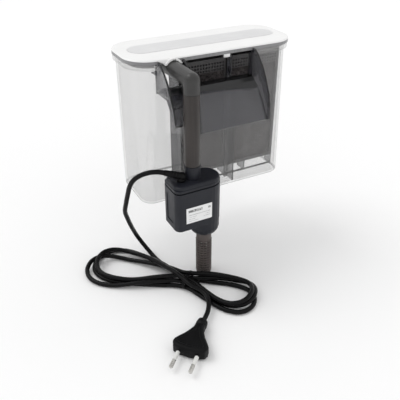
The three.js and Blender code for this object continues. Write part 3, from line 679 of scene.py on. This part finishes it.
def makePlug(spec):
    bm = bmesh.new()
    side = spec["outline"]
    loop = side + [(x, -w) for x, w in reversed(side) if w]
    half = spec["halfHeight"] * mm
    face = bm.faces.new([bm.verts.new((x * mm, y * mm, -half)) for x, y in loop])
    raised = bmesh.ops.extrude_face_region(bm, geom=[face])
    top = [item for item in raised["geom"] if isinstance(item, bmesh.types.BMVert)]
    bmesh.ops.translate(bm, verts=top, vec=(0, 0, 2 * half))
    # the back slims down towards the neck
    for vert in bm.verts:
        slim = min(1.0, max(0.0, (-vert.co.x / mm - spec["slimFrom"]) / spec["slimOver"]))
        vert.co.z *= 1 - spec["slimBy"] * slim
    bmesh.ops.recalc_face_normals(bm, faces=bm.faces)
    rims = [edge for edge in bm.edges if abs(edge.verts[0].co.z - edge.verts[1].co.z) < half]
    bmesh.ops.bevel(bm, geom=rims, offset=spec["round"] * mm, segments=4, profile=0.5,
                    affect="EDGES", material=-1, clamp_overlap=True)
    # a sunk finger panel on each side
    panels = [face for face in bm.faces if abs(face.normal.z) > 0.97 and face.calc_area() > 2e-4]
    sink = spec["panelSink"] * mm
    bmesh.ops.inset_individual(bm, faces=panels, thickness=spec["panelMargin"] * mm, depth=0)
    bmesh.ops.inset_individual(bm, faces=panels, thickness=sink, depth=-sink)
    bmesh.ops.transform(bm, matrix=plugPlace(spec), verts=bm.verts)
    body = addPiece("plug_shell", bm, plugBlack, "pump", ["plug_body"])
    neck = bmesh.new()
    spinProfile(neck, [(r * mm, -x * mm) for x, r in spec["neck"]], spec["neckSteps"])
    flat = Matrix.Diagonal((1, spec["neckFlatness"], 1, 1))
    lay = Matrix.Rotation(math.radians(-90), 4, "Y")
    bmesh.ops.transform(neck, matrix=plugPlace(spec) @ lay @ flat, verts=neck.verts)
    collar = addPiece("plug_collar", neck, cordBlack, "pump", ["plug_neck"])
    return body, collar


plugShell, plugCollar = makePlug(plugSpec)
print("cord, tie, strain relief and plug made")


boxSpec = {
    "left": -38.5, "right": 142.5, "near": 10.0, "far": 82.0, "top": 28.7, "bottom": -125.2,
    "corner": 24.0,
    "footCorner": 15.0,
    "wall": 2.2,
    "footRound": 3.5,
    "lengthShare": 0.982,
    "depthShare": 0.965,
    "notch": (-16.3, 92.3, 0.4),  # the hook's opening: left, right and sill
    "reach": 14.0,  # how far back the opening cuts
    "flange": {
        "left": -41.5, "right": 146.5, "near": 8.6, "far": 84.0,
        "height": 5.0, "corner": 26.0, "wall": 2.4,
    },
}


def openNotch(bm, notch, reach):
    # cuts the hook's opening out of the tank-side wall
    left, right, sill = (value * mm for value in notch)
    bisectAt(bm, (left, 0, 0), (1, 0, 0))
    bisectAt(bm, (right, 0, 0), (1, 0, 0))
    bisectAt(bm, (0, 0, sill), (0, 0, 1))
    gone = []
    for face in bm.faces:
        spot = face.calc_center_median()
        if left < spot.x < right and spot.z > sill and spot.y < reach:
            gone.append(face)
    bmesh.ops.delete(bm, geom=gone, context="FACES")


def markEdgeShade(bm, spec):
    # painted shade: the cut ends of the walls and the turn of the foot get the near-black edge finish, in
    # place of the dark lines that refraction gives there
    left, right, sill = (value * mm for value in spec["notch"])
    close = 0.3 * mm
    bm.normal_update()
    for face in bm.faces:
        spot, way = face.calc_center_median(), face.normal
        level = abs(way.z) > 0.9 and min(abs(spot.z - spec["top"] * mm), abs(spot.z - sill)) < close
        upright = abs(way.x) > 0.9 and min(abs(spot.x - left), abs(spot.x - right)) < close
        foot = spot.z < (spec["bottom"] + 0.5 * spec["footRound"]) * mm and 0.2 < abs(way.z) < 0.92
        if level or foot or (upright and spot.y < spec["reach"] * mm):
            face.material_index = 1


def roundedPlate(bm, left, right, near, far, z, corner, segments):
    # a flat plate with rounded corners, as the start of a loft
    verts = bmesh.ops.create_grid(bm, x_segments=1, y_segments=1, size=0.5)["verts"]
    bmesh.ops.scale(bm, verts=verts, vec=(right - left, far - near, 1))
    bmesh.ops.translate(bm, verts=verts, vec=((left + right) / 2, (near + far) / 2, z))
    bmesh.ops.bevel(bm, geom=verts, offset=corner, segments=segments, profile=0.5,
                    affect="VERTICES", material=-1)


def makeBox(spec):
    bm = bmesh.new()
    left, right, near, far = (spec[key] * mm for key in ("left", "right", "near", "far"))
    bottom, top = spec["bottom"] * mm, spec["top"] * mm
    middle = (left + right) / 2
    halfFoot = (right - left) / 2 * spec["lengthShare"]
    farFoot = near + (far - near) * spec["depthShare"]
    footLeft, footRight = middle - halfFoot, middle + halfFoot
    roundedPlate(bm, footLeft, footRight, near, farFoot, bottom, spec["footCorner"] * mm, 12)
    roundedPlate(bm, left, right, near, far, top, spec["corner"] * mm, 12)
    bmesh.ops.bridge_loops(bm, edges=bm.edges[:])
    bmesh.ops.recalc_face_normals(bm, faces=bm.faces)
    foot = [edge for edge in bm.edges if all(abs(vert.co.z - bottom) < 1e-6 for vert in edge.verts)]
    bmesh.ops.bevel(bm, geom=foot, offset=spec["footRound"] * mm, segments=4, profile=0.5,
                    affect="EDGES", material=-1)
    lid = [face for face in bm.faces if all(abs(vert.co.z - top) < 1e-6 for vert in face.verts)]
    bmesh.ops.delete(bm, geom=lid, context="FACES")
    openNotch(bm, spec["notch"], spec["reach"] * mm)
    bmesh.ops.solidify(bm, geom=bm.faces[:], thickness=spec["wall"] * mm)
    markEdgeShade(bm, spec)
    ring = bmesh.new()
    rim = spec["flange"]
    rimLow = (rim["left"] * mm, rim["near"] * mm, (spec["top"] - rim["height"]) * mm)
    rimHigh = (rim["right"] * mm, rim["far"] * mm, spec["top"] * mm)
    roundedBox(ring, rimLow, rimHigh, rim["corner"] * mm, 12)
    bmesh.ops.recalc_face_normals(ring, faces=ring.faces)
    caps = [face for face in ring.faces if abs(face.normal.z) > 0.9]
    bmesh.ops.delete(ring, geom=caps, context="FACES")
    openNotch(ring, spec["notch"], spec["reach"] * mm)
    bmesh.ops.solidify(ring, geom=ring.faces[:], thickness=rim["wall"] * mm)
    markEdgeShade(ring, spec)
    spare = bpy.data.meshes.new("boxRim")
    ring.to_mesh(spare)
    ring.free()
    bm.from_mesh(spare)
    bpy.data.meshes.remove(spare)
    box = addPiece("clear_box", bm, clearPlastic, "housing", ["reservoir_body"], 30)
    # the second slot holds the painted edge shade
    box.data.materials.append(clearEdgeShade)
    return box


clearBox = makeBox(boxSpec)
boxSize = [tuple(round(c, 4) for c in corner) for corner in (clearBox.bound_box[0], clearBox.bound_box[6])]
print("clear box made:", boxSize)

edgeWidth = 2.3 * mm  # narrower faces of the smoked walls get the darker edge, painted shade
spillHook = dressedCopy(
    "spillway_hook", "spill_hook", smokedPlastic, smokedEdgeShade, edgeWidth, "housing")
dressedCopy(
    "divider_frame", "divider_walls", smokedPlastic, smokedEdgeShade, edgeWidth, "housing")
lidTop = dressedCopy("lid_shell", "lid_top", lidWhite, lidSkirtShade, 0.0, "lid")

lidSpec = {"skirtTop": 33.2, "hoodHalf": 12, "frontDepth": 13, "tab": (56, 65)}
hookSpec = {
    "ledgeY": (-3, 14.6), "ledgeZ": (-3, 4), "ledgeTilt": 0.35,
    "cheeks": (-15, 11, 91), "cheekHalf": 0.9, "cheekTurn": 0.3,
}

for face in lidTop.data.polygons:
    # painted shade: the skirt below the rounded edge gets the grey finish for its shaded sides, and the
    # hood and the tab stay white
    inFront = face.center.y < lidSpec["frontDepth"] * mm
    onHood = abs(face.center.x) < lidSpec["hoodHalf"] * mm and inFront
    onTab = lidSpec["tab"][0] * mm < face.center.x < lidSpec["tab"][1] * mm and inFront
    highest = max(lidTop.data.vertices[i].co.z for i in face.vertices)
    if highest < lidSpec["skirtTop"] * mm and not onHood and not onTab:
        face.material_index = 1
for face in spillHook.data.polygons:
    # painted shade: the ledge at the head of the fall and the fronts of the cheeks get the dark edge
    # finish, so they read darker than the fall
    spot, way = face.center, face.normal
    ledge = (way.z > hookSpec["ledgeTilt"]
             and hookSpec["ledgeY"][0] * mm < spot.y < hookSpec["ledgeY"][1] * mm
             and hookSpec["ledgeZ"][0] * mm < spot.z < hookSpec["ledgeZ"][1] * mm)
    cheek = min(abs(spot.x - x * mm) for x in hookSpec["cheeks"]) < hookSpec["cheekHalf"] * mm
    if ledge or (cheek and abs(way.x) < hookSpec["cheekTurn"]):
        face.material_index = 1
print("hook, dividers and lid dressed")


strainerSpec = {
    "centre": (13.3, -31.0), "bottom": -202.0, "top": -146.5, "outer": 8.3, "inner": 6.9,
    "firstRing": -197.6, "pitch": 3.4, "rings": 13, "ringHalf": 0.8, "ringProud": 0.5,
    "bars": 12, "barWidth": 0.9, "barDepth": 1.0, "steps": 40,
}


def makeStrainer(spec):
    # close rings on upright bars, between a solid foot and a plain neck
    bm = bmesh.new()
    outer, inner = spec["outer"] * mm, spec["inner"] * mm
    bottom, top = spec["bottom"] * mm, spec["top"] * mm
    first = spec["firstRing"] * mm
    last = first + (spec["rings"] - 1) * spec["pitch"] * mm
    foot = [(0, bottom), (outer - 1.2 * mm, bottom), (outer, bottom + 1.2 * mm), (outer, first - 2.2 * mm),
            (inner, first - 2.2 * mm), (inner, bottom + 1.8 * mm), (0, bottom + 1.8 * mm)]
    spinProfile(bm, foot, spec["steps"])
    half, proud = spec["ringHalf"] * mm, outer + spec["ringProud"] * mm
    for i in range(spec["rings"]):
        z = first + i * spec["pitch"] * mm
        ring = [(inner, z - half), (outer, z - half), (proud, z - 0.5 * half),
                (proud, z + 0.5 * half), (outer, z + half), (inner, z + half)]
        spinProfile(bm, ring, spec["steps"], closed=True)
    neck = [(inner, last + 1.2 * mm), (outer, last + 1.2 * mm), (outer, top), (inner, top)]
    spinProfile(bm, neck, spec["steps"], closed=True)
    for i in range(spec["bars"]):
        bar = bmesh.ops.create_cube(bm, size=1.0)["verts"]
        barSize = (spec["barDepth"] * mm, spec["barWidth"] * mm, last - first + 4 * mm)
        bmesh.ops.scale(bm, verts=bar, vec=barSize)
        bmesh.ops.translate(bm, verts=bar, vec=(inner + 0.7 * mm, 0, (first + last) / 2))
        around = Matrix.Rotation(2 * math.pi * i / spec["bars"], 3, "Z")
        bmesh.ops.rotate(bm, verts=bar, cent=(0, 0, 0), matrix=around)
    bmesh.ops.translate(bm, verts=bm.verts, vec=(spec["centre"][0] * mm, spec["centre"][1] * mm, 0))
    addPiece("intake_strainer", bm, strainerBrown, "pump", ["strainer"])


makeStrainer(strainerSpec)


cartridgeSpec = {
    "wall": 1.3,
    "pitch": 3.4,
    "bar": 1.05,
    "windows": [(-104.2, -69.8), (-66.8, -32.4), (-29.4, 5.0)],
    "windowSide": 4.5,
    "piercedFrom": 7, "piercedMargin": 3,  # the holed band in front, up to just under the top
    "handleWidth": 18.0, "tabHeight": 6.2, "tabWall": 1.4, "tabInset": 0.8, "tabSunk": 1.2,
    "tabAbove": 5,
}


standUp = Matrix.Rotation(math.radians(90), 3, "X")  # turns a flat sheet to face the tank


def makeBasket(spec, side):
    # an open-topped basket whose front and back are perforated between plain bands
    low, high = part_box("cartridge_frame_" + side)
    top = high.z - spec["tabAbove"] * mm
    middle = (low + high) / 2
    size = Vector((high.x - low.x, high.y - low.y, top - low.z))
    columns = round(size.x / (spec["pitch"] * mm))
    rows = round(size.z / (spec["pitch"] * mm))
    bm = bmesh.new()
    bandLow, bandTop = spec["piercedFrom"] * mm, top - spec["piercedMargin"] * mm
    for depth in (low.y, high.y):
        sheet = bmesh.new()
        bmesh.ops.create_grid(sheet, x_segments=columns, y_segments=rows, size=0.5)
        bmesh.ops.scale(sheet, verts=sheet.verts, vec=(size.x, size.z, 1))
        bmesh.ops.rotate(sheet, verts=sheet.verts, cent=(0, 0, 0), matrix=standUp)
        bmesh.ops.translate(sheet, verts=sheet.verts, vec=(middle.x, depth, (low.z + top) / 2))
        stile = spec["windowSide"] * mm
        pierced, opened = [], []
        for face in sheet.faces:
            spot = face.calc_center_median()
            inside = min(spot.x - low.x, high.x - spot.x) > stile
            if inside and any(a * mm < spot.z < b * mm for a, b in spec["windows"]):
                opened.append(face)
            elif inside and depth == low.y and bandLow < spot.z < bandTop:
                pierced.append(face)
        bmesh.ops.inset_individual(sheet, faces=pierced, thickness=spec["bar"] * mm, depth=0)
        bmesh.ops.delete(sheet, geom=pierced + opened, context="FACES")
        spare = bpy.data.meshes.new("basketSheet")
        sheet.to_mesh(spare)
        sheet.free()
        bm.from_mesh(spare)
        bpy.data.meshes.remove(spare)
    bm.edges.ensure_lookup_table()
    outline = [edge for edge in bm.edges if edge.is_boundary and not isHole(edge, low, high, top)]
    bmesh.ops.bridge_loops(bm, edges=[edge for edge in outline if not onTop(edge, top)])
    bmesh.ops.recalc_face_normals(bm, faces=bm.faces)
    bmesh.ops.solidify(bm, geom=bm.faces[:], thickness=spec["wall"] * mm)
    # the lifting tab with its finger hole
    tab = bmesh.ops.create_grid(bm, x_segments=3, y_segments=3, size=0.5)["verts"]
    tabHeight = spec["tabHeight"] * mm
    tabZ = top + tabHeight / 2 - spec["tabSunk"] * mm
    centre = Vector((middle.x, high.y - spec["tabInset"] * mm, tabZ))
    bmesh.ops.scale(bm, verts=tab, vec=(spec["handleWidth"] * mm, tabHeight, 1))
    bmesh.ops.rotate(bm, verts=tab, cent=(0, 0, 0), matrix=standUp)
    bmesh.ops.translate(bm, verts=tab, vec=centre)
    faces = {face for vert in tab for face in vert.link_faces}
    hole = min(faces, key=lambda face: (face.calc_center_median() - centre).length)
    bmesh.ops.delete(bm, geom=[hole], context="FACES")
    faces = [face for face in faces if face.is_valid]
    bmesh.ops.solidify(bm, geom=faces, thickness=spec["tabWall"] * mm)
    name = "cartridge_frame_" + side
    addPiece("cartridge_basket_" + side, bm, basketGrey, "cartridges", [name])


def isHole(edge, low, high, top):
    # an edge well inside the sheet's outline belongs to a hole
    spot = (edge.verts[0].co + edge.verts[1].co) / 2
    return min(spot.x - low.x, high.x - spot.x, spot.z - low.z, top - spot.z) > 0.2 * mm


def onTop(edge, top):
    return all(abs(vert.co.z - top) < 1e-5 for vert in edge.verts)


spongeSpec = {"swell": 0.35, "corner": 1.2, "lumps": 0.006, "middle": 0.6}
sleeveSpec = {"cloth": 0.8, "edge": 9, "quilts": 5, "quiltDepth": 0.28, "columns": 22, "rows": 44}


def makeSponge(spec, side):
    # a cut block of open foam: soft corners and a rough, lumpy skin
    low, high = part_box("sponge_pad_" + side)
    bm = bmesh.new()
    bmesh.ops.create_cube(bm, size=1.0)
    bmesh.ops.scale(bm, verts=bm.verts, vec=high - low)
    bmesh.ops.translate(bm, verts=bm.verts, vec=(low + high) / 2)
    bmesh.ops.bevel(bm, geom=bm.edges[:], offset=spec["corner"] * mm, segments=3, profile=0.5,
                    affect="EDGES", material=-1)
    bmesh.ops.subdivide_edges(bm, edges=bm.edges[:], cuts=7, use_grid_fill=True)
    name = "sponge_pad_" + side
    piece = addPiece("filter_sponge_" + side, bm, spongeGrey, "cartridges", [name], 60)
    texture = bpy.data.textures.new("foamSkin_" + side, "CLOUDS")
    texture.noise_scale = spec["lumps"]
    texture.noise_depth = 2
    rough = piece.modifiers.new("skin", "DISPLACE")
    rough.texture = texture
    rough.texture_coords = "LOCAL"
    rough.strength = spec["swell"] * mm
    rough.mid_level = spec["middle"]


def makeSleeve(spec, side):
    # a flat fleece bag of carbon: crowned between its quilting lines, thin at its welded edge
    low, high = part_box("carbon_pack_" + side)
    middle = (low + high) / 2
    size = high - low
    bm = bmesh.new()
    bmesh.ops.create_grid(bm, x_segments=spec["columns"], y_segments=spec["rows"], size=0.5)
    bmesh.ops.scale(bm, verts=bm.verts, vec=(size.x, size.z, 1))
    bmesh.ops.rotate(bm, verts=bm.verts, cent=(0, 0, 0), matrix=standUp)
    bmesh.ops.recalc_face_normals(bm, faces=bm.faces)
    thin, edge = spec["cloth"] * mm, spec["edge"] * mm
    bmesh.ops.solidify(bm, geom=bm.faces[:], thickness=thin)
    centreY = sum(vert.co.y for vert in bm.verts) / len(bm.verts)
    for vert in bm.verts:
        sideways = min(1.0, (size.x / 2 - abs(vert.co.x)) / edge)
        upright = min(1.0, (size.z / 2 - abs(vert.co.z)) / edge)
        rise = math.sin(sideways * math.pi / 2) * math.sin(upright * math.pi / 2)
        crown = math.sqrt(max(0.0, rise))
        quilt = abs(math.sin((vert.co.z / size.z + 0.5) * math.pi * spec["quilts"]))
        fullness = 1 - spec["quiltDepth"] + spec["quiltDepth"] * quilt ** 0.5
        grow = (size.y / 2 - thin) * crown * fullness
        vert.co.y += math.copysign(grow, vert.co.y - centreY)
    bmesh.ops.translate(bm, verts=bm.verts, vec=middle - Vector((0, centreY, 0)))
    name = "carbon_pack_" + side
    piece = addPiece("carbon_sleeve_" + side, bm, fleeceBlack, "cartridges", [name], 70)
    finer = piece.modifiers.new("finer", "SUBSURF")
    finer.levels = finer.render_levels = 1


for side in ("left", "right"):
    makeBasket(cartridgeSpec, side)
    makeSponge(spongeSpec, side)
    makeSleeve(sleeveSpec, side)
print("strainer and cartridges made")


stageSpec = {
    "floorSize": 14.0,
    "floorWhite": 0.97,
    "belowFoot": 0.05,  # millimetres, so that nothing shares the table's plane
    "sky": 0.86,
    "key": {"place": (-0.75, 0.75, 1.5), "spread": 34.0, "strength": 0.72},
}


def makeLight(name, spec, target=(0.03, 0.0, -0.1)):
    # a broad soft lamp, far enough off to light the whole table evenly
    data = bpy.data.lights.new(name, "SUN")
    data.angle = math.radians(spec["spread"])
    data.energy = spec["strength"]
    light = bpy.data.objects.new(name, data)
    light.location = spec["place"]
    light.rotation_euler = (Vector(spec["place"]) - Vector(target)).to_track_quat("Z", "Y").to_euler()
    bpy.context.scene.collection.objects.link(light)


def makeStage(spec):
    bm = bmesh.new()
    bmesh.ops.create_grid(bm, x_segments=1, y_segments=1, size=spec["floorSize"] / 2)
    bmesh.ops.translate(bm, verts=bm.verts, vec=(0, 0, floorZ - spec["belowFoot"] * mm))
    mesh = bpy.data.meshes.new("table")
    bm.to_mesh(mesh)
    bm.free()
    material, tree, surface = newMaterial("tableWhite", Roughness=0.9, Specular_IOR_Level=0.1)
    white = spec["floorWhite"]
    shade = rampOf(tree, noiseAt(tree, objectPoint(tree), 6.0), [(0.2, white - 0.01), (0.8, white)])
    tree.links.new(shade, surface.inputs["Base Color"])
    mesh.materials.append(material)
    table = bpy.data.objects.new("table", mesh)
    bpy.context.scene.collection.objects.link(table)
    world = bpy.data.worlds.new("studio")
    world.use_nodes = True
    sky = world.node_tree.nodes["Background"]
    sky.inputs["Color"].default_value = (1, 1, 1, 1)
    sky.inputs["Strength"].default_value = spec["sky"]
    bpy.context.scene.world = world
    makeLight("keyLight", spec["key"])


makeStage(stageSpec)
bpy.context.scene.view_settings.view_transform = "Standard"
print("stage and lights made")
